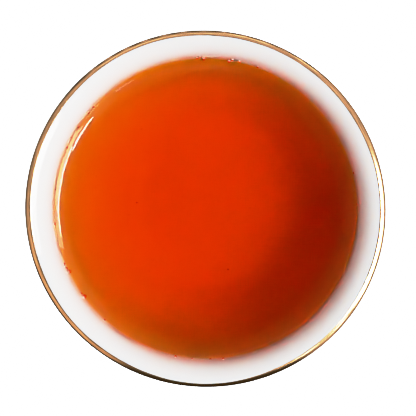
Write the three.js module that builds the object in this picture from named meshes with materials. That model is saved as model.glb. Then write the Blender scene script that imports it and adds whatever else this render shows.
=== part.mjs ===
// A handleless porcelain tea cup with a flared lip, filled with black tea.
// Millimetres, +Z up. The origin is the centre of the foot ring, on the surface that the cup stands on.

import * as THREE from 'three';

// The cup's driving sizes.
const RIM_RADIUS = 40;
const HEIGHT = 40;
const FLOOR_RADIUS = 17.6;
const FLOOR_HEIGHT = 7;
const FLOOR_DISH = 0.25;
const WALL_AT_THROAT = 2;

// The flare and the lip as arcs that follow each other from the throat outward. The profile's heading, in
// degrees above the horizontal, turns from THROAT_HEADING to the last entry's straight-down edge.
const THROAT_HEADING = 78;
const LIP_ARCS = [
  { radius: 8.6, to: 22, steps: 7 },
  { radius: 0.5, to: -12, steps: 2 },
  { radius: 2.7, to: -34, steps: 2 },
  { radius: 0.4, to: -90, steps: 3 },
];

// The foot ring under the cup.
const FOOT_OUTER_RADIUS = 17.7;
const FOOT_INNER_RADIUS = 14.5;
const FOOT_CHAMFER = 0.4;
const FOOT_HEIGHT = 3.2;
const BASE_HEIGHT = 3.4;
const BASE_DOME = 0.4;

// The kiln leaves the mouth a little oval. OVAL_SHARE is the change of radius at the rim.
const OVAL_SHARE = 0.0075;
const OVAL_DIRECTION = THREE.MathUtils.degToRad(-16.3);
const OVAL_POWER = 3;

// The tea. Its edge climbs the flare to where the wall's heading is WET_HEADING. CAPILLARY_LENGTH is the square
// root of surface tension over weight, and EDGE_SLOPE the surface's slope where it meets the wall.
const WET_HEADING = 61.3;
const TEA_GAP = 0.3;
const CAPILLARY_LENGTH = 2.6;
const EDGE_SLOPE = 38;

// Faces round the cup.
const TURNS = 72;

// Where the lip's widest point lies outside the throat and where its crest lies above it.
const lipReach = arcChain({ x: 0, y: 0 });
const lipEnd = lipReach[lipReach.length - 1];
const crestRise = Math.max(...lipReach.map((point) => point.y));

// The points that the wall curves pass through. heading is in degrees above the horizontal, going outward,
// and reach is how far the curve holds it.
const floorEdge = { radius: FLOOR_RADIUS, height: FLOOR_HEIGHT + FLOOR_DISH, heading: 22, reach: 9 };
const throat = { radius: RIM_RADIUS - lipEnd.x, height: HEIGHT - crestRise, heading: THROAT_HEADING, reach: 12 };
const footTop = { radius: FOOT_OUTER_RADIUS + 0.3, height: FOOT_HEIGHT, heading: 90, reach: 0.8 };
const belly = { radius: 19.4, height: 4.6, heading: 20, reach: 0.8 };
const bellyOut = { ...belly, reach: 9 };
const neck = { ...outward(throat, WALL_AT_THROAT), heading: throat.heading, reach: 11 };
const neckUp = { ...neck, reach: 1.9 };
const underLip = { radius: 38.5, height: HEIGHT - 2.25, heading: 31, reach: 1.9 };
const underLipOut = { ...underLip, reach: 0.9 };
const lipSide = { radius: RIM_RADIUS, height: throat.height + lipEnd.y, heading: 90, reach: 0.5 };

// The point that lies a wall's thickness outside a point of the inner wall.
function outward(point, thickness) {
  const heading = THREE.MathUtils.degToRad(point.heading);
  return {
    radius: point.radius + thickness * Math.sin(heading),
    height: point.height - thickness * Math.cos(heading),
  };
}

// A cubic curve in the profile's plane that leaves one point and meets the next at their headings.
function bend(from, to) {
  const start = new THREE.Vector2(from.radius, from.height);
  const end = new THREE.Vector2(to.radius, to.height);
  const leave = THREE.MathUtils.degToRad(from.heading);
  const meet = THREE.MathUtils.degToRad(to.heading);
  const first = new THREE.Vector2(Math.cos(leave), Math.sin(leave)).multiplyScalar(from.reach).add(start);
  const second = new THREE.Vector2(-Math.cos(meet), -Math.sin(meet)).multiplyScalar(to.reach).add(end);
  return new THREE.CubicBezierCurve(start, first, second, end);
}

// Points along an arc of the profile, from a point outward, while its heading turns from one angle to another.
function arc(start, radius, from, to, steps) {
  const first = THREE.MathUtils.degToRad(from);
  const points = [];
  for (let step = 0; step <= steps; step += 1) {
    const heading = THREE.MathUtils.degToRad(from + ((to - from) * step) / steps);
    const x = start.x + radius * (Math.sin(first) - Math.sin(heading));
    const y = start.y + radius * (Math.cos(heading) - Math.cos(first));
    points.push(new THREE.Vector2(x, y));
  }
  return points;
}

// The flare and the lip, from the throat to the lip's widest point.
function arcChain(start) {
  let points = [new THREE.Vector2(start.x, start.y)];
  let heading = THROAT_HEADING;
  for (const { radius, to, steps } of LIP_ARCS) {
    points = joined(points, arc(points[points.length - 1], radius, heading, to, steps));
    heading = to;
  }
  return points;
}

// A line of profile points moved into the cup's hollow by a gap, square to the line.
function movedIn(points, gap) {
  return points.map((point, index) => {
    const before = points[Math.max(index - 1, 0)];
    const after = points[Math.min(index + 1, points.length - 1)];
    const along = after.clone().sub(before).normalize();
    return new THREE.Vector2(point.x - gap * along.y, point.y + gap * along.x);
  });
}

// Joins runs of profile points, without the point that two runs share.
function joined(...runs) {
  const points = [];
  for (const point of runs.flat()) {
    const last = points[points.length - 1];
    if (last === undefined || last.distanceTo(point) > 0.01) {
      points.push(point);
    }
  }
  return points;
}

// Turns a profile round the Z axis, and makes it as oval as the kiln left the cup at that height.
function turned(profile) {
  const geometry = new THREE.LatheGeometry(profile, TURNS);
  geometry.rotateX(Math.PI / 2);
  const place = geometry.attributes.position;
  for (let index = 0; index < place.count; index += 1) {
    const x = place.getX(index);
    const y = place.getY(index);
    const swell = OVAL_SHARE * (Math.max(place.getZ(index), 0) / HEIGHT) ** OVAL_POWER;
    const factor = 1 + swell * Math.cos(2 * (Math.atan2(y, x) - OVAL_DIRECTION));
    place.setX(index, x * factor);
    place.setY(index, y * factor);
  }
  geometry.computeVertexNormals();
  return geometry;
}

// The foot ring's section, from the middle of the base outward.
function footProfile() {
  return [
    new THREE.Vector2(0, BASE_HEIGHT),
    new THREE.Vector2(FOOT_INNER_RADIUS - 2, BASE_HEIGHT - BASE_DOME),
    new THREE.Vector2(FOOT_INNER_RADIUS - 0.6, BASE_HEIGHT - BASE_DOME - 0.5),
    new THREE.Vector2(FOOT_INNER_RADIUS, FOOT_CHAMFER),
    new THREE.Vector2(FOOT_INNER_RADIUS + FOOT_CHAMFER, 0),
    new THREE.Vector2(FOOT_OUTER_RADIUS - FOOT_CHAMFER, 0),
    new THREE.Vector2(FOOT_OUTER_RADIUS, FOOT_CHAMFER),
  ];
}

// The inner wall from the floor to the throat.
function innerBelly(steps) {
  return bend(floorEdge, throat).getPoints(steps);
}

function cup() {
  const outside = joined(
    footProfile(),
    bend(footTop, belly).getPoints(2),
    bend(bellyOut, neck).getPoints(12),
    bend(neckUp, underLip).getPoints(4),
    bend(underLipOut, lipSide).getPoints(2),
  );
  const inside = joined(
    arcChain({ x: throat.radius, y: throat.height }).reverse(),
    innerBelly(12).reverse(),
    [new THREE.Vector2(0, FLOOR_HEIGHT)],
  );
  return turned(joined(outside, inside));
}

// The tea's edge where it climbs the wall, from the wall inward. A liquid's surface whose slope is s stands
// 2 a sin(s / 2) above its flat level, a being its capillary length.
function edgeProfile(wallRadius, wallHeight) {
  const run = (slope) => Math.acosh(1 / Math.sin(slope / 2)) - 2 * Math.cos(slope / 2);
  const rise = (slope) => 2 * Math.sin(slope / 2);
  const wallSlope = THREE.MathUtils.degToRad(EDGE_SLOPE);
  return [1, 0.78, 0.58, 0.4, 0.24, 0.12, 0.05, 0].map((share) => {
    const slope = wallSlope * share;
    const inward = share > 0 ? CAPILLARY_LENGTH * (run(slope) - run(wallSlope)) : wallRadius;
    const drop = CAPILLARY_LENGTH * (rise(wallSlope) - rise(slope));
    return new THREE.Vector2(wallRadius - inward, wallHeight - drop);
  });
}

function tea() {
  const throatPoint = { x: throat.radius, y: throat.height };
  const wetFlare = arc(throatPoint, LIP_ARCS[0].radius, THROAT_HEADING, WET_HEADING, 2);
  const side = movedIn(joined(innerBelly(10), wetFlare), TEA_GAP);
  const edge = edgeProfile(side[side.length - 1].x, wetFlare[wetFlare.length - 1].y);
  return turned([new THREE.Vector2(0, FLOOR_HEIGHT + TEA_GAP), ...side, ...edge.slice(1)]);
}

function named(name, geometry, colour, roughness, metalness) {
  const material = new THREE.MeshStandardMaterial({ color: colour, roughness, metalness });
  const mesh = new THREE.Mesh(geometry, material);
  mesh.name = name;
  return mesh;
}

const cupOfTea = new THREE.Group();
cupOfTea.add(named('cup', cup(), 0xf2f2f1, 0.12, 0));
cupOfTea.add(named('tea', tea(), 0xc83200, 0.05, 0));

export default cupOfTea;
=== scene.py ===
import math

import bpy
import numpy as np
from mathutils import Matrix, Vector


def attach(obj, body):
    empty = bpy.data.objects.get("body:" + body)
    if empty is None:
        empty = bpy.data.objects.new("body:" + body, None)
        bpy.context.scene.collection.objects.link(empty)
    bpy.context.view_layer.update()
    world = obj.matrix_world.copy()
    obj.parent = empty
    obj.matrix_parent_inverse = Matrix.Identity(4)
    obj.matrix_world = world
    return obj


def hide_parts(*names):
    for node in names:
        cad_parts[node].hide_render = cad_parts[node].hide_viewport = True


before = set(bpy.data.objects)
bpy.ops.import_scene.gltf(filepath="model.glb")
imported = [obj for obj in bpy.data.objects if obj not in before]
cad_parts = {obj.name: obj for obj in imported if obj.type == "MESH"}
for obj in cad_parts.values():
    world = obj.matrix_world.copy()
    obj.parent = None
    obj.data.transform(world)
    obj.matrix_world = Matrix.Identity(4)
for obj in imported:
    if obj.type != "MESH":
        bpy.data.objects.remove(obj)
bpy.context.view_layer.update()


# The view
# The photograph looks almost straight down into the cup, from a little to the right of its axis, so that the
# tea's circle sits a little to the right in the lip's. The lens is long, so the mouth keeps its true width.
MM = 0.001
PHOTO_PIXELS = 416
RIM_PIXELS = 359.4
RIM_CENTRE_PIXEL = (204.7, 209.0)
RIM_WIDTH = 80.0 * MM
RIM_LEVEL = 39.25 * MM
LENS_DISTANCE = 0.55
LEAN_RIGHT = math.radians(3.0)
LEAN_UP = math.radians(1.2)

scene = bpy.context.scene
pixel = RIM_WIDTH / RIM_PIXELS
aim = Vector((
    (PHOTO_PIXELS / 2 - RIM_CENTRE_PIXEL[0]) * pixel,
    (RIM_CENTRE_PIXEL[1] - PHOTO_PIXELS / 2) * pixel,
    RIM_LEVEL,
))
back = Vector((math.tan(LEAN_RIGHT), math.tan(LEAN_UP), 1.0)).normalized()
right = Vector((0.0, 1.0, 0.0)).cross(back).normalized()
up = back.cross(right)
camera = bpy.data.objects.new("camera", bpy.data.cameras.new("camera"))
camera.data.sensor_width = 36.0
camera.data.lens = camera.data.sensor_width * LENS_DISTANCE / (PHOTO_PIXELS * pixel)
facing = Matrix((right, up, back)).transposed().to_4x4()
camera.matrix_world = Matrix.Translation(aim + back * LENS_DISTANCE) @ facing
scene.collection.objects.link(camera)
scene.camera = camera


# The porcelain cup
# A handleless cup of white porcelain, cast in one piece and fired under a clear glaze. The wall rises from a
# flat floor and flares to a lip that slopes outward. The foot ring's underside is wiped free of glaze.
CUP_HEIGHT = 40.0 * MM
OVAL_SHARE = 0.0075
OVAL_DIRECTION = math.radians(-16.3)
TURNS = 300

# Points of the profile, each a radius and a height in millimetres, and the headings and radii of its arcs.
FLOOR_END = (14.8, 7.14)
WALL_START = (17.6, 7.25)
HOLLOW_RADIUS = 20.4
THROAT = (33.394, 33.778)
THROAT_HEADING = 78
WET_HEADING = 61.3
FLARE_HEADING = 22
FLARE_RADIUS = 8.6
BASE_EDGE = (12.6, 3.05)
FOOT_INSIDE = (14.4, 1.5)
FOOT_TOP = (18.0, 3.2)
BELLY = (19.4, 4.6)
NECK = (35.35, 33.362)
UNDER_LIP = (38.5, 37.75)
LIP_SIDE = (40.0, 39.255)

# How far the pink glow painted for the tea's light reaches outside and inside its edge, and how far inside
# it the wall has painted shade.
PINK_OUTSIDE = 1.3 * MM
PINK_INSIDE = 0.25 * MM
SHADE_PAINTED_INSIDE = 7.0 * MM

# The radius where the porcelain beside the gilt line is darkest and bluest, and how far that spreads.
BLUE_LINE_RADIUS = 38.5 * MM
BLUE_LINE_SPREAD = 0.35 * MM

turn = np.linspace(0.0, 2 * np.pi, TURNS, endpoint=False)


def knot(radius, height, heading, reach):
    """A point that a profile passes through, in millimetres: where it is, the angle above the horizontal at
    which the profile passes, and how far the profile holds that heading."""
    angle = math.radians(heading)
    return (
        np.array([radius, height]) * MM,
        np.array([math.cos(angle), math.sin(angle)]) * reach * MM,
    )


def bend(start, end, count):
    """The cubic curve (1-t)^3 A + 3 t (1-t)^2 B + 3 t^2 (1-t) C + t^3 D from knot A to knot D, where B lies
    ahead of A and C behind D along their headings."""
    t = np.linspace(0.0, 1.0, count)[:, None]
    ahead = start[0] + start[1]
    behind = end[0] - end[1]
    leaving = (1 - t) ** 3 * start[0] + 3 * t * (1 - t) ** 2 * ahead
    return leaving + 3 * t ** 2 * (1 - t) * behind + t ** 3 * end[0]


def joined(*runs):
    """One line of profile points from several runs, without the points that two runs share."""
    line = np.vstack(runs)
    step = np.linalg.norm(np.diff(line, axis=0), axis=1)
    return line[np.concatenate([[True], step > 1e-7])]


def arcs(start, heading, *turns):
    """Arcs that follow each other from a point outward, each given as (radius R, last heading, count). While
    its heading turns from a to b, an arc moves outward by R (sin a - sin b) and up by R (cos b - cos a)."""
    line = np.array([start])
    for radius, last, count in turns:
        angle = np.radians(np.linspace(heading, last, count))
        move = np.stack([np.sin(angle[0]) - np.sin(angle), np.cos(angle) - np.cos(angle[0])], axis=1)
        line = joined(line, line[-1] + radius * MM * move)
        heading = last
    return line


def kiln_shaped(radius, height, angle=turn):
    """Turns profile points round the axis and warps them as firing does. At angle a and height share h the
    radius grows by the share 0.0075 h^3 cos 2(a - direction) and by faint waves, and the rim's level waves by
    a tenth of a millimetre. The result has the shape (points, turns, 3)."""
    share = np.clip(height / CUP_HEIGHT, 0.0, None)
    swell = OVAL_SHARE * share ** 3 * np.cos(2 * (angle - OVAL_DIRECTION))
    swell = swell + 0.0006 * share ** 3 * (np.cos(3 * angle + 1.0) + 0.6 * np.cos(5 * angle + 2.2))
    lift = 0.06 * MM * share ** 4 * (np.cos(2 * angle + 0.7) - 1.0)
    grown = radius * (1 + swell)
    return np.stack([grown * np.cos(angle), grown * np.sin(angle), height + lift], axis=-1)


def skin(name, rings, closed=False, marks=None):
    """A mesh object from rings of points, each once round the axis. A ring on the axis becomes one point, and
    closed joins the last ring to the first. marks are attributes: one value or vector for each point."""
    count, turns = rings.shape[:2]
    index = np.arange(count * turns).reshape(count, turns)
    for end in (0, -1):
        if not closed and np.allclose(rings[end, :, :2], 0.0, atol=1e-9):
            index[end] = index[end, 0]
    rows = np.arange(count if closed else count - 1)
    low, high = index[rows], index[(rows + 1) % count]
    corners = np.stack([low, np.roll(low, -1, axis=1), np.roll(high, -1, axis=1), high], axis=-1)
    used, corners = np.unique(corners, return_inverse=True)
    corners = corners.reshape(-1, 4)
    at_bottom = corners[:, 0] == corners[:, 1]
    at_top = corners[:, 2] == corners[:, 3]
    faces = corners[~at_bottom & ~at_top].tolist()
    faces += corners[at_bottom][:, [0, 2, 3]].tolist()
    faces += corners[at_top][:, [0, 1, 2]].tolist()
    mesh = bpy.data.meshes.new(name)
    mesh.from_pydata(rings.reshape(-1, 3)[used].tolist(), [], faces)
    for mark, values in (marks or {}).items():
        values = np.broadcast_to(values, (count, turns) + values.shape[2:])
        kind = "FLOAT_VECTOR" if values.ndim == 3 else "FLOAT"
        attribute = mesh.attributes.new(mark, kind, "POINT")
        field = "vector" if values.ndim == 3 else "value"
        flat = values.reshape(count * turns, -1)[used]
        attribute.data.foreach_set(field, flat.astype(np.float32).ravel())
    mesh.shade_smooth()
    piece = bpy.data.objects.new(name, mesh)
    scene.collection.objects.link(piece)
    return piece


def add(tree, kind, settings=None, **inputs):
    """A node with its settings and inputs. An input that is a socket is linked, and another is a value."""
    made = tree.nodes.new(kind)
    for name, value in (settings or {}).items():
        setattr(made, name, value)
    for name, value in inputs.items():
        socket = made.inputs[int(name[1:])] if name[1:].isdigit() else made.inputs[name.replace("_", " ")]
        if isinstance(value, bpy.types.NodeSocket):
            tree.links.new(value, socket)
        else:
            socket.default_value = value
    return made


def calc(tree, operation, *values):
    """A Math node's result."""
    inputs = {"_%d" % number: value for number, value in enumerate(values)}
    return add(tree, "ShaderNodeMath", {"operation": operation}, **inputs).outputs[0]


def ranged(tree, value, from_min, from_max, to_min=0.0, to_max=1.0, kind="LINEAR"):
    """A value moved from one range to another."""
    ends = {"From_Min": from_min, "From_Max": from_max, "To_Min": to_min, "To_Max": to_max}
    return add(tree, "ShaderNodeMapRange", {"interpolation_type": kind}, Value=value, **ends).outputs[0]


def new_material(name):
    """A material with a Principled shader, as (material, node tree, shader)."""
    material = bpy.data.materials.new(name)
    material.use_nodes = True
    return material, material.node_tree, material.node_tree.nodes["Principled BSDF"]


def blended(tree, share, first, second):
    """The colour between two colours, by a share from 0 to 1."""
    mix = add(tree, "ShaderNodeMix", {"data_type": "RGBA"}, _0=share)
    for socket, value in ((mix.inputs[6], first), (mix.inputs[7], second)):
        if isinstance(value, bpy.types.NodeSocket):
            tree.links.new(value, socket)
        else:
            socket.default_value = (*value, 1.0)
    return mix.outputs[2]


# The inside, from the floor's middle to the lip's widest point. A wide hollow joins the floor and the wall.
throat = knot(*THROAT, THROAT_HEADING, 12)
inner_belly = bend(knot(*WALL_START, 22, 9), throat, 70)
inner_belly = inner_belly[inner_belly[:, 0] > HOLLOW_RADIUS * MM]
rise, outward = (inner_belly[1] - inner_belly[0])[::-1]
hollow_end = knot(*(inner_belly[0] / MM), math.degrees(math.atan2(rise, outward)), 1.9)
hollow = bend(knot(*FLOOR_END, 0.5, 1.9), hollow_end, 24)
floor = joined(bend(knot(0.0, 7.0, 0, 4), knot(*FLOOR_END, 0.5, 4), 12), hollow)
flare = arcs(
    throat[0],
    THROAT_HEADING,
    (FLARE_RADIUS, WET_HEADING, 20),
    (FLARE_RADIUS, WET_HEADING - 0.4, 2),
    (FLARE_RADIUS, FLARE_HEADING, 40),
)
lip = arcs(flare[-1], FLARE_HEADING, (0.5, -12, 10), (2.7, -34, 16), (0.4, -90, 14))
contact = arcs(throat[0], THROAT_HEADING, (FLARE_RADIUS, WET_HEADING, 2))[-1]

# The outside, from the base's middle to the lip's widest point.
foot = joined(
    bend(knot(0.0, 3.4, 0, 5), knot(*BASE_EDGE, -8, 3), 10),
    bend(knot(*BASE_EDGE, -8, 1.2), knot(*FOOT_INSIDE, -86, 1.0), 10),
    bend(knot(*FOOT_INSIDE, -86, 0.4), knot(14.5, 0.42, -88, 0.4), 4),
    bend(knot(14.5, 0.42, -90, 0.22), knot(14.9, 0.0, 0, 0.22), 6),
    bend(knot(14.9, 0.0, 0, 0.8), knot(17.3, 0.0, 0, 0.8), 5),
    bend(knot(17.3, 0.0, 0, 0.22), knot(17.7, 0.4, 90, 0.22), 6),
    bend(knot(17.7, 0.4, 90, 1), knot(*FOOT_TOP, 88, 1), 6),
    bend(knot(*FOOT_TOP, 88, 0.8), knot(*BELLY, 20, 0.8), 10),
)
under_lip = bend(knot(*UNDER_LIP, 31, 0.9), knot(*LIP_SIDE, 90, 0.5), 24)
outside = joined(
    bend(knot(*BELLY, 20, 9), knot(*NECK, THROAT_HEADING, 11), 44),
    bend(knot(*NECK, THROAT_HEADING, 1.9), knot(*UNDER_LIP, 31, 1.9), 16),
    under_lip,
)
cup_profile = joined(foot, outside, lip[::-1], flare[::-1], inner_belly[::-1], floor[::-1])

# Where the foot is bare of glaze, what the tea wets, and how near a point of the inside is to the gilt line
# and to the tea's edge. The mask of the pink glow painted for the tea's light falls to 1/e over its reach,
# and the painted shade just inside the tea's edge falls to 0.
bare = 1.0 - np.clip((cup_profile[:, 1] - 0.25 * MM) / (0.35 * MM), 0.0, 1.0)
is_inside = np.arange(len(cup_profile)) > np.argmax(cup_profile[:, 1])
wet = is_inside & (cup_profile[:, 1] < contact[1] + 0.001 * MM)
near_gilt = is_inside * np.exp(-(((cup_profile[:, 0] - BLUE_LINE_RADIUS) / BLUE_LINE_SPREAD) ** 2))
off_edge = cup_profile[:, 0] - contact[0]
painted_glow_mask = is_inside * np.exp(-np.maximum(off_edge / PINK_OUTSIDE, -off_edge / PINK_INSIDE))
painted_edge_shade = wet * np.clip(1.0 + off_edge / SHADE_PAINTED_INSIDE, 0.0, 1.0)
cup = skin(
    "porcelain_cup",
    kiln_shaped(cup_profile[:, :1], cup_profile[:, 1:]),
    marks={
        "bare": bare[:, None],
        "wet": wet[:, None] * 1.0,
        "near_gilt": near_gilt[:, None],
        "painted_glow_mask": painted_glow_mask[:, None],
        "painted_edge_shade": painted_edge_shade[:, None],
    },
)


def porcelain():
    """White porcelain under a clear gloss glaze, faintly darker and bluer beside the gilt line, with bare,
    finely grained clay under the foot. Over the tea's edge a pink glow is painted into its colour for the
    tea's light that spreads in it, and it is painted darker there too. Under the tea the glaze reflects
    little, as its index is near the tea's, and shade is painted into its colour, deepest just inside the
    tea's edge."""
    material, tree, shader = new_material("glazed_porcelain")
    place = add(tree, "ShaderNodeTexCoord").outputs["Object"]
    cloud = add(tree, "ShaderNodeTexNoise", Vector=place, Scale=90.0, Detail=2.0)
    grain = add(tree, "ShaderNodeTexNoise", Vector=place, Scale=5200.0, Detail=3.0)
    ripple = add(tree, "ShaderNodeTexNoise", Vector=place, Scale=420.0, Detail=1.0)
    gilt_side = add(tree, "ShaderNodeAttribute", {"attribute_name": "near_gilt"}).outputs["Fac"]
    bare_clay = add(tree, "ShaderNodeAttribute", {"attribute_name": "bare"}).outputs["Fac"]
    wetted = add(tree, "ShaderNodeAttribute", {"attribute_name": "wet"}).outputs["Fac"]
    painted_edge_shade = add(tree, "ShaderNodeAttribute", {"attribute_name": "painted_edge_shade"}).outputs["Fac"]
    painted_tea_glow = add(tree, "ShaderNodeAttribute", {"attribute_name": "painted_glow_mask"}).outputs["Fac"]
    dry = blended(tree, cloud.outputs["Fac"], (0.78, 0.78, 0.775), (0.80, 0.80, 0.795))
    # Painted shade: darker under the tea, and darker again just inside the tea's edge.
    white = blended(tree, wetted, dry, (0.70, 0.70, 0.69))
    white = blended(tree, painted_edge_shade, white, (0.60, 0.60, 0.59))
    # Painted light and shade: a pink glow over the tea's edge for the tea's red light, darker than the white.
    white = blended(tree, painted_tea_glow, white, (0.68, 0.47, 0.415))
    # Darker and bluer in a thin line beside the gilt line.
    bluer_beside_gilt = blended(tree, calc(tree, "MULTIPLY", gilt_side, 0.4), white, (0.70, 0.72, 0.78))
    clay = blended(tree, grain.outputs["Fac"], (0.72, 0.68, 0.61), (0.86, 0.83, 0.77))
    tree.links.new(blended(tree, bare_clay, bluer_beside_gilt, clay), shader.inputs["Base Color"])
    tree.links.new(ranged(tree, bare_clay, 0.0, 1.0, 0.07, 0.65), shader.inputs["Roughness"])
    tree.links.new(ranged(tree, wetted, 0.0, 1.0, 0.5, 0.045), shader.inputs["Specular IOR Level"])
    glaze = add(tree, "ShaderNodeBump", Height=ripple.outputs["Fac"], Strength=0.25, Distance=0.00002)
    clay_bump = calc(tree, "MULTIPLY", grain.outputs["Fac"], bare_clay)
    relief = add(
        tree, "ShaderNodeBump", Height=clay_bump, Normal=glaze.outputs[0], Strength=0.6, Distance=0.00006
    )
    tree.links.new(relief.outputs[0], shader.inputs["Normal"])
    shader.inputs["Subsurface Weight"].default_value = 1.0
    shader.inputs["Subsurface Radius"].default_value = (1.0, 0.85, 0.7)
    shader.inputs["Subsurface Scale"].default_value = 0.4 * MM
    shader.inputs["IOR"].default_value = 1.5
    return material


cup.data.materials.append(porcelain())
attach(cup, "root")
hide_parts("cup")


# The gilt line
# A thin bronze-gold lustre, brushed by hand over the lip and fired on. It runs from the crest over the outer
# slope and a little way down the outside. It is a film, thicker in some brush strokes than in others.
GILT_WIDTH = 1.27 * MM
GILT_BELOW = 0.8 * MM
GILT_FILM = 0.012 * MM
GILT_ROOT = 0.12 * MM

lip_line = joined(under_lip, lip[::-1], flare[::-1])
lip_run = np.concatenate([[0.0], np.cumsum(np.linalg.norm(np.diff(lip_line, axis=0), axis=1))])
widest = np.argmax(lip_line[:, 0])
thin_place = np.exp(-(((turn - 1.5 * np.pi) / math.radians(22.0)) ** 2))
gilt_width = GILT_WIDTH + MM * (0.09 * np.cos(2 * turn) - 0.33 * thin_place)
brush_shake = 0.02 * np.cos(23 * turn + 0.8) * np.cos(11 * turn)
gilt_width = gilt_width + MM * (0.03 * np.cos(7 * turn + 1.9) + brush_shake)
inner_edge = np.interp(gilt_width - RIM_WIDTH / 2, -lip_line[widest:, 0], lip_run[widest:])
outer_edge = lip_run[widest] - GILT_BELOW + 0.1 * MM * (np.cos(4 * turn + 1.1) + 0.6 * np.cos(9 * turn))


def gilt_rings(across_count=30):
    """The film's closed section at each turn. Its outer half runs across the lip from the outer edge, share
    0, to the inner edge, share 1, standing off by film * sqrt(4 s (1 - s)). Its inner half returns in the
    porcelain, at the depth root * sin(pi s)."""
    share = np.linspace(0.0, 1.0, across_count)
    run = outer_edge[None, :] + share[:, None] * (inner_edge - outer_edge)[None, :]
    radius = np.interp(run, lip_run, lip_line[:, 0])
    height = np.interp(run, lip_run, lip_line[:, 1])
    ahead = np.interp(run + 0.02 * MM, lip_run, lip_line[:, 0]) - radius
    rise = np.interp(run + 0.02 * MM, lip_run, lip_line[:, 1]) - height
    length = np.hypot(ahead, rise)
    out_radius, out_height = rise / length, -ahead / length
    film = GILT_FILM * np.sqrt(np.clip(4 * share * (1 - share), 0.0, 1.0))[:, None]
    rings = []
    for off in (film, -GILT_ROOT * np.sin(np.pi * share)[1:-1, None][::-1]):
        rows = slice(None) if off is film else slice(-2, 0, -1)
        rings.append(np.stack([radius[rows] + out_radius[rows] * off, height[rows] + out_height[rows] * off]))
    return np.concatenate(rings, axis=1), np.concatenate([share, share[-2:0:-1]])


(gilt_radius, gilt_height), gilt_share = gilt_rings()
stroke = np.stack([
    np.broadcast_to(np.cos(turn) * 3.0, gilt_radius.shape),
    np.broadcast_to(np.sin(turn) * 3.0, gilt_radius.shape),
    np.broadcast_to(gilt_share[:, None], gilt_radius.shape),
], axis=-1)
gilt = skin("gilt_line", kiln_shaped(gilt_radius, gilt_height), closed=True, marks={"stroke": stroke})


def lustre():
    """Bronze-gold lustre: a bright metal film with darker, browner strokes along the line."""
    material, tree, shader = new_material("gilt_line")
    along = add(tree, "ShaderNodeAttribute", {"attribute_name": "stroke"}).outputs["Vector"]
    stretched = add(tree, "ShaderNodeMapping", Vector=along, Scale=(2.0, 2.0, 9.0))
    stretched = stretched.outputs[0]
    streak = add(tree, "ShaderNodeTexNoise", Vector=stretched, Scale=1.6, Detail=4.0, Roughness=0.6)
    worn = ranged(tree, streak.outputs["Fac"], 0.46, 0.68)
    bronze = blended(tree, worn, (0.86, 0.52, 0.27), (0.46, 0.29, 0.15))
    tree.links.new(bronze, shader.inputs["Base Color"])
    tree.links.new(ranged(tree, streak.outputs["Fac"], 0.0, 1.0, 0.05, 0.2), shader.inputs["Roughness"])
    bump = add(tree, "ShaderNodeBump", Height=streak.outputs["Fac"], Strength=0.3, Distance=0.00002)
    tree.links.new(bump.outputs[0], shader.inputs["Normal"])
    shader.inputs["Metallic"].default_value = 1.0
    return material


gilt.data.materials.append(lustre())
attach(gilt, "root")


# The tea
# Clear black tea, poured to just under the flare. It lies flat in the middle and climbs the wall at its edge
# by surface tension. It reaches a little into the porcelain, so that no air shows between them.
CAPILLARY_LENGTH = 2.6 * MM
EDGE_SLOPE = math.radians(38.0)
TEA_BITE = 0.06 * MM
EDGE_FADE = 0.65 * MM


def edge_run(slope):
    """How far a liquid's surface has run from the wall when its slope is s, less a constant:
    a (arcosh(1 / sin(s / 2)) - 2 cos(s / 2)), a being the capillary length."""
    return CAPILLARY_LENGTH * (np.arccosh(1 / np.sin(slope / 2)) - 2 * np.cos(slope / 2))


def edge_rise(slope):
    """How high the surface stands over the flat level where its slope is s: 2 a sin(s / 2)."""
    return 2 * CAPILLARY_LENGTH * np.sin(slope / 2)


def moved_out(line, distance):
    """A line of profile points moved into the porcelain, square to the line."""
    along = np.gradient(line, axis=0)
    along = along / np.linalg.norm(along, axis=1, keepdims=True)
    return line + distance * np.stack([along[:, 1], -along[:, 0]], axis=1)


TEA_LEVEL = contact[1] - edge_rise(EDGE_SLOPE)
wall = joined(floor, inner_belly, flare)
wet_wall = moved_out(wall, TEA_BITE)
wet_wall = wet_wall[(wet_wall[:, 1] < contact[1]) & (wet_wall[:, 0] > 0.1 * MM)]
steep = np.linspace(EDGE_SLOPE * 1.03, EDGE_SLOPE * 0.1, 40)
slopes = np.concatenate([steep, EDGE_SLOPE * np.geomspace(0.09, 0.002, 14)])
off_wall = edge_run(slopes) - edge_run(EDGE_SLOPE)
surface = np.stack([contact[0] - off_wall, TEA_LEVEL + edge_rise(slopes)], axis=1)
middle = np.linspace(surface[-1, 0], 0.0, 10)[1:]
surface = np.vstack([surface, np.stack([middle, np.full_like(middle, TEA_LEVEL)], axis=1)])
tea_profile = np.vstack([[[0.0, wet_wall[0, 1]]], wet_wall, surface])
depth_share = np.clip((contact[0] - tea_profile[:, 0]) / EDGE_FADE, 0.0, 1.0)
tea_rings = kiln_shaped(tea_profile[:, :1], tea_profile[:, 1:])
tea = skin("clear_tea", tea_rings, marks={"deep": depth_share[:, None]})


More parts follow.
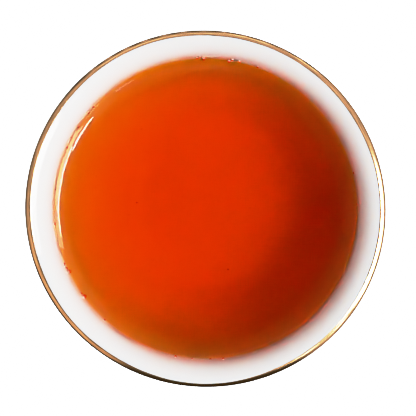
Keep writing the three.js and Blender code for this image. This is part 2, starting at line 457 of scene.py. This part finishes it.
def black_tea():
    """Clear tea. Its surface tints what passes, least at its thin edge, and its body takes up blue light at
    once, green light over centimetres and hardly any red. The absorption for each metre is the density times
    what the colour leaves of white."""
    material, tree, shader = new_material("black_tea")
    from_edge = add(tree, "ShaderNodeAttribute", {"attribute_name": "deep"}).outputs["Fac"]
    deep = ranged(tree, from_edge, 0.0, 1.0, kind="SMOOTHSTEP")
    tree.links.new(blended(tree, deep, (1.0, 0.9, 0.85), (1.0, 0.45, 0.05)), shader.inputs["Base Color"])
    shader.inputs["Roughness"].default_value = 0.0
    shader.inputs["IOR"].default_value = 1.333
    shader.inputs["Specular IOR Level"].default_value = 0.36
    shader.inputs["Transmission Weight"].default_value = 1.0
    takes_up = add(tree, "ShaderNodeVolumeAbsorption", Color=(0.988, 0.912, 0.0, 1.0), Density=400.0)
    tree.links.new(takes_up.outputs[0], tree.nodes["Material Output"].inputs["Volume"])
    return material


tea.data.materials.append(black_tea())
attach(tea, "root")
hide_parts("tea")


# The bubbles
# Small air bubbles that pouring left along the tea's edge, in ones, twos and threes. Each is an opaque dome
# with painted light: the tea's red seen through the bubble is painted on the side of the tea, and a painted
# reflection of the pale wall on the side of the wall.
SMALL_BUBBLE = 0.24 * MM
LARGE_BUBBLE = 0.44 * MM
BUBBLE_FLATNESS = 0.6


def beads(name, places, sizes, directions, uneven=0.0):
    """Closed beads in one mesh, each the unit sphere (cos u cos v, sin u cos v, sin v) stretched by its size
    along x, y and z. Its outline is uneven by the share cos(2 u + p) + 0.6 cos(3 u + q), where p and q are
    random. The mark ahead says how far a point lies towards the bead's direction."""
    rows, columns = 8, 12
    v = np.linspace(-np.pi / 2, np.pi / 2, rows + 1)[:, None]
    u = np.linspace(0.0, 2 * np.pi, columns, endpoint=False)
    ball = np.stack([np.cos(u) * np.cos(v), np.sin(u) * np.cos(v), np.sin(v) + 0 * u], axis=-1)
    phase = np.random.default_rng(5).uniform(0.0, 2 * np.pi, (len(places), 2, 1))
    outline = 1 + uneven * (np.cos(2 * u + phase[:, 0]) + 0.6 * np.cos(3 * u + phase[:, 1]))
    points = places[:, None, None] + sizes[:, None, None] * ball * outline[:, None, :, None]
    index = np.arange((rows + 1) * columns).reshape(rows + 1, columns)
    index[0], index[-1] = index[0, 0], index[-1, 0]
    low, high = index[:-1], index[1:]
    quads = np.stack([low, np.roll(low, -1, axis=1), np.roll(high, -1, axis=1), high], axis=-1).reshape(-1, 4)
    used, quads = np.unique(quads, return_inverse=True)
    faces = []
    for start in np.arange(len(places)) * len(used):
        faces += [tuple(dict.fromkeys((quad + start).tolist())) for quad in quads.reshape(-1, 4)]
    mesh = bpy.data.meshes.new(name)
    mesh.from_pydata(points.reshape(len(places), -1, 3)[:, used].reshape(-1, 3).tolist(), [], faces)
    ahead = np.einsum("bi,pi->bp", directions, ball.reshape(-1, 3)[used])
    attribute = mesh.attributes.new("ahead", "FLOAT", "POINT")
    attribute.data.foreach_set("value", ahead.astype(np.float32).ravel())
    mesh.shade_smooth()
    piece = bpy.data.objects.new(name, mesh)
    scene.collection.objects.link(piece)
    return piece


def on_surface(radius, angle):
    """Places on the tea's surface at distances from the axis and angles in radians."""
    height = np.interp(radius, surface[::-1, 0], surface[::-1, 1])
    return kiln_shaped(radius, height, angle)


# Where the bubbles sit round the edge, in degrees from +X towards +Y, and how far inside it.
small_turns = (
    -158.6, -156.7, -145.6, -132.2, -101.5, -95.1, -88.2, -83.3, 93.3, 92.2, 79.8, 76.9,
    69.8, 137.8, 140.7, 147.4, 152.0, 156.2, 172.7, -174.1, 13.6, 1.8,
)
large_turns = (-155.2, -144.0, 80.9, 90.7)
bubble_turn = np.radians(small_turns + large_turns)
is_large = np.arange(len(bubble_turn)) >= len(small_turns)
luck = np.random.default_rng(3).uniform(-1.0, 1.0, len(bubble_turn))
inset = np.where(is_large, 0.60, 0.33) * MM + luck * 0.12 * MM
bubble_size = np.where(is_large, LARGE_BUBBLE, SMALL_BUBBLE) * (1 + 0.25 * luck[::-1])
bubbles = beads(
    "bubbles",
    on_surface(contact[0] - inset, bubble_turn),
    bubble_size[:, None] * np.array([1.0, 1.0, BUBBLE_FLATNESS]),
    np.stack([np.cos(bubble_turn), np.sin(bubble_turn), 0.5 + 0 * bubble_turn], axis=1),
)


def bubble_film():
    """A bubble's thin film, with the tea's red light painted on its inner side and a painted reflection of
    the pale wall on the side of the wall.
    """
    material, tree, shader = new_material("bubble_film")
    ahead = add(tree, "ShaderNodeAttribute", {"attribute_name": "ahead"}).outputs["Fac"]
    painted_wall_reflection = ranged(tree, ahead, 0.45, 0.85, kind="SMOOTHSTEP")
    # Painted light: the tea's red seen through the film, and a painted reflection of the pale wall.
    film = blended(tree, painted_wall_reflection, (0.58, 0.05, 0.004), (0.84, 0.70, 0.64))
    tree.links.new(film, shader.inputs["Base Color"])
    shader.inputs["Roughness"].default_value = 0.08
    shader.inputs["Specular IOR Level"].default_value = 0.1
    shader.inputs["IOR"].default_value = 1.333
    return material


bubbles.data.materials.append(bubble_film())
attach(bubbles, "root")


# The tea dust
# Specks of leaf that passed the strainer and float on the tea, most of them near the middle and towards the
# left. They are flat and uneven, dark brown when wet through and paler when fresh.
DUST_THICKNESS = 0.03 * MM

# Each entry is a speck's place to the right and up from the axis and its half width, in millimetres.
dark_specks = ((-15.5, 1.3, 0.18), (5.0, -13.7, 0.18), (-5.3, 2.7, 0.11), (2.8, 1.5, 0.11), (9.9, 0.1, 0.10),
               (-1.65, 7.3, 0.11), (-12.8, -14.1, 0.11), (-12.0, -11.7, 0.10), (-14.5, 17.8, 0.11),
               (-24.6, 7.2, 0.10), (-17.3, -1.4, 0.11))
pale_specks = ((15.5, 5.1, 0.11), (-21.1, -7.7, 0.10), (26.2, 12.1, 0.11), (23.4, -7.3, 0.13))
specks = np.array(dark_specks + pale_specks) * MM
is_pale = np.arange(len(specks)) >= len(dark_specks)
dust = beads(
    "tea_dust",
    on_surface(np.hypot(specks[:, 0], specks[:, 1]), np.arctan2(specks[:, 1], specks[:, 0])),
    np.stack([specks[:, 2], specks[:, 2] * 0.7, np.full(len(specks), DUST_THICKNESS)], axis=1),
    np.zeros((len(specks), 3)),
    uneven=0.25,
)
pale = np.repeat(is_pale * 1.0, len(dust.data.vertices) // len(specks))
dust.data.attributes.new("pale", "FLOAT", "POINT").data.foreach_set("value", pale.astype(np.float32))


def leaf():
    """Wet black tea leaf, dark or pale, with a grain that is finer than a speck."""
    material, tree, shader = new_material("tea_leaf")
    place = add(tree, "ShaderNodeTexCoord").outputs["Object"]
    grain = add(tree, "ShaderNodeTexNoise", Vector=place, Scale=9000.0, Detail=2.0).outputs["Fac"]
    is_fresh = add(tree, "ShaderNodeAttribute", {"attribute_name": "pale"}).outputs["Fac"]
    dark = blended(tree, grain, (0.10, 0.02, 0.008), (0.20, 0.05, 0.02))
    fresh = blended(tree, grain, (0.70, 0.22, 0.06), (0.85, 0.32, 0.10))
    tree.links.new(blended(tree, is_fresh, dark, fresh), shader.inputs["Base Color"])
    shader.inputs["Roughness"].default_value = 0.4
    return material


dust.data.materials.append(leaf())
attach(dust, "root")


# The table and the light
# A plain pale table, a window on the right 38 to 54 degrees above it with a brighter band on top, and a pale
# room on the other sides. Right over the cup it is dark, so that the tea's flat surface stays clear.
TABLE_RADIUS = 4.0
LIGHT_DISTANCE = 1.0


def toward(azimuth, elevation):
    """The unit vector at an azimuth, counted from +X towards +Y, and an elevation, both in degrees."""
    turned, raised = math.radians(azimuth), math.radians(elevation)
    level = math.cos(raised)
    return Vector((math.cos(turned) * level, math.sin(turned) * level, math.sin(raised)))


def pane(name, azimuths, elevations, radiance):
    """A bright pane that covers two azimuths and two elevations as the cup sees it. Its width is
    2 d tan(half the azimuths' angle) cos(elevation), and its height 2 d tan(half the elevations' angle)."""
    azimuth, elevation = sum(azimuths) / 2, sum(elevations) / 2
    data = bpy.data.lights.new(name, "AREA")
    data.shape = "RECTANGLE"
    half_turn = math.radians(azimuths[1] - azimuths[0]) / 2
    half_rise = math.radians(elevations[1] - elevations[0]) / 2
    data.size = 2 * LIGHT_DISTANCE * math.tan(half_turn) * math.cos(math.radians(elevation))
    data.size_y = 2 * LIGHT_DISTANCE * math.tan(half_rise)
    data.energy = radiance * math.pi * data.size * data.size_y
    light = bpy.data.objects.new(name, data)
    light.location = toward(azimuth, elevation) * LIGHT_DISTANCE + Vector((0.0, 0.0, CUP_HEIGHT))
    light.rotation_euler = toward(azimuth, elevation).to_track_quat("Z", "Y").to_euler()
    scene.collection.objects.link(light)
    return light


pane("window", (-36, -2), (38, 54), 20.0)
pane("window_shaded", (-2, 15), (38, 54), 12.0)
pane("window_top", (-29, 10), (54, 58), 66.0)
pane("second_window", (-44.8, -29.2), (58, 63), 70.0)
pane("third_window", (-66.2, -57.7), (49, 53), 14.0)
pane("sill", (-49, -41), (40, 44), 10.0)

# More of the window's light for what is seen through the tea, which the photograph shows as brighter than the
# porcelain's light alone makes it.
through_tea = pane("window_through_tea", (-36, 2), (38, 54), 33.0)
through_tea.visible_diffuse = False
through_tea.visible_glossy = False

table = bpy.data.objects.new("table", bpy.data.meshes.new("table"))
table.data.from_pydata(
    np.stack([np.cos(turn), np.sin(turn), 0 * turn], axis=1) * TABLE_RADIUS, [], [range(TURNS)]
)
scene.collection.objects.link(table)
table_material, tree, shader = new_material("table")
shader.inputs["Base Color"].default_value = (0.5, 0.5, 0.5, 1.0)
shader.inputs["Roughness"].default_value = 0.7
shader.inputs["Emission Color"].default_value = (1.0, 1.0, 1.0, 1.0)
shader.inputs["Emission Strength"].default_value = 3.5
table_material.cycles.emission_sampling = "NONE"
table.data.materials.append(table_material)
table.visible_glossy = False
table.visible_diffuse = False

world = bpy.data.worlds.new("room")
scene.world = world
world.use_nodes = True
tree = world.node_tree
across = add(tree, "ShaderNodeSeparateXYZ", _0=add(tree, "ShaderNodeTexCoord").outputs["Generated"])
azimuth = calc(tree, "DEGREES", calc(tree, "ARCTAN2", across.outputs[1], across.outputs[0]))
elevation = calc(tree, "DEGREES", calc(tree, "ARCSINE", across.outputs[2]))


def between(value, ends, soft):
    """1 between two angles and 0 outside them, changing smoothly over soft degrees."""
    off = calc(tree, "WRAP", calc(tree, "SUBTRACT", value, sum(ends) / 2), 180.0, -180.0)
    half = (ends[1] - ends[0]) / 2
    return ranged(tree, calc(tree, "ABSOLUTE", off), half + soft / 2, half - soft / 2, kind="SMOOTHSTEP")


def patch(azimuths, elevations, soft, colour, pattern=1.0):
    """A patch of the room between two azimuths and two elevations."""
    share = calc(tree, "MULTIPLY", between(azimuth, azimuths, soft), between(elevation, elevations, soft))
    share = calc(tree, "MULTIPLY", share, pattern)
    return add(tree, "ShaderNodeVectorMath", {"operation": "SCALE"}, _0=colour, Scale=share).outputs[0]


# What only shows mirrored, in the gilt line and the tea's surface, and what only lights the porcelain. A ray
# that the tea has refracted or the porcelain has scattered counts as lighting. Under the horizon lies what a
# pale table throws up onto the cup's outside.
GREY = Vector((1.0, 1.0, 1.0))
ray = add(tree, "ShaderNodeLightPath").outputs
not_refracted = calc(tree, "SUBTRACT", 1.0, ray["Is Transmission Ray"])
reflected = calc(tree, "MULTIPLY", ray["Is Glossy Ray"], not_refracted)
mirrored = calc(tree, "MULTIPLY", reflected, calc(tree, "LESS_THAN", ray["Diffuse Depth"], 0.5))
lighting = calc(tree, "SUBTRACT", 1.0, mirrored)
slats = ranged(tree, calc(tree, "SINE", calc(tree, "MULTIPLY", azimuth, 2 * math.pi / 6.5)), 0.5, 0.8)
total = GREY * 0.08
for glow in (
    patch((47, 143), (32, 66), 10, GREY * 0.7, mirrored),
    patch((143, 190), (32, 66), 12, GREY * 0.7, mirrored),
    patch((143, 200), (5, 32), 8, GREY * 0.22, mirrored),
    patch((-170, -122), (28, 56), 10, Vector((1.05, 0.94, 0.78)), mirrored),
    patch((-118, -100), (45, 60), 5, Vector((0.10, 0.14, 0.18))),
    patch((-112, -62), (54, 70), 6, GREY * 0.9, mirrored),
    patch((-60, 20), (34, 72), 10, GREY * 1.1, mirrored),
    patch((20, 50), (34, 72), 10, GREY * 0.85, mirrored),
    patch((-60, 50), (0, 34), 8, GREY * 0.5, mirrored),
    patch((-180, 180), (64, 78), 4, GREY * 0.3, mirrored),
    patch((135, 225), (2, 24), 8, GREY * 2.3, lighting),
    patch((50, 132), (3, 33), 2, GREY * 0.6, lighting),
    patch((-181, 181), (-24, -2), 2, GREY * 4.4, lighting),
    patch((53, 87), (34, 40), 1, GREY * 1.5, mirrored),
    patch((88, 132), (43.5, 48.5), 1, GREY * 1.1, mirrored),
    patch((50, 132), (8, 30), 2, GREY * 1.4, calc(tree, "MULTIPLY", slats, mirrored)),
):
    total = add(tree, "ShaderNodeVectorMath", {"operation": "ADD"}, _0=total, _1=glow).outputs[0]
tree.links.new(total, tree.nodes["Background"].inputs["Color"])

# The picture's tones, as a camera renders them: steep in the middle and with a soft shoulder near white. Each
# entry is a light level and what the picture shows of it.
TONES = (
    (0.012, 0.0), (0.05, 0.027), (0.1, 0.058), (0.2, 0.12), (0.3, 0.19), (0.4, 0.27),
    (0.5, 0.375), (0.6, 0.50), (0.7, 0.625), (0.8, 0.725), (0.9, 0.79), (1.05, 0.85),
    (1.25, 0.895), (1.5, 0.925), (1.9, 0.96), (2.5, 0.993), (3.0, 1.0),
)
WHITE_LEVEL = 4.0

scene.view_settings.view_transform = "Standard"
scene.view_settings.use_curve_mapping = True
tones = scene.view_settings.curve_mapping
tones.white_level = (WHITE_LEVEL, WHITE_LEVEL, WHITE_LEVEL)
for light_level, shown in TONES:
    tones.curves[3].points.new(light_level / WHITE_LEVEL, shown)
for point in tones.curves[3].points:
    point.handle_type = "VECTOR"
tones.update()

scene.cycles.use_denoising = True
scene.cycles.max_bounces = 24
scene.cycles.transmission_bounces = 16
scene.cycles.diffuse_bounces = 8
scene.cycles.blur_glossy = 0.0
scene.cycles.sample_clamp_indirect = 20.0
